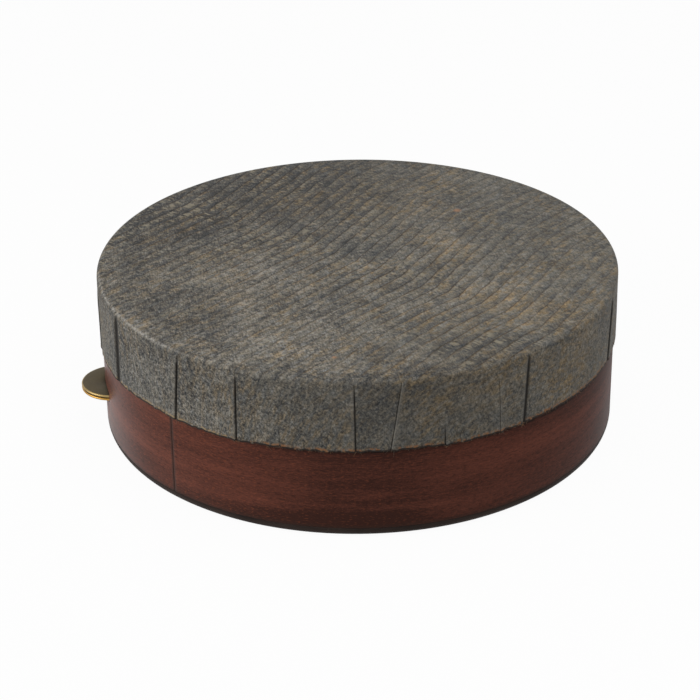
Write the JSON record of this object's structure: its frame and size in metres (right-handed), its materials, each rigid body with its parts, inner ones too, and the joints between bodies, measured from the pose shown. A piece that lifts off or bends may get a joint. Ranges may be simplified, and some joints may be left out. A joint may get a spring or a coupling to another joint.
{
  "type": "kanjira",
  "caption": "Shallow round frame drum: a skin folded and glued over the upper rim, open below, with loose brass jingles stacked on an upright pin in a slot of the shell wall.",
  "frame": {"origin": "on the drum's axis, in the plane of the lower rim that it stands on", "axes": "+Z along the drum's axis, from the open lower rim to the playing face; the jingle slot faces the diagonal between -X and -Y"},
  "size_m": [0.1774, 0.1776, 0.0565],
  "materials": {
    "core": "dark stained wood fibre, satin",
    "veneer": "red-brown mahogany figure, satin lacquer",
    "skin": "mottled grey-brown skin with fine scale rows, matt",
    "jingle": "toned brass, satin",
    "pin": "plain drawn steel"
  },
  "bodies": {
    "shell": {"shell_core": "core", "shell_veneer": "veneer", "drumhead": "skin", "jingle_pin": "pin"},
    "lower_jingle": {"jingle_lower": "jingle"},
    "upper_jingle": {"jingle_upper": "jingle"}
  },
  "joints": [
    {"name": "lower_jingle_rise", "type": "slide", "parent": "shell", "child": "lower_jingle", "axis": [0, 0, 1], "range_m": [0, 0.0008]},
    {"name": "upper_jingle_rise", "type": "slide", "parent": "lower_jingle", "child": "upper_jingle", "axis": [0, 0, 1], "range_m": [0, 0.0008]}
  ]
}
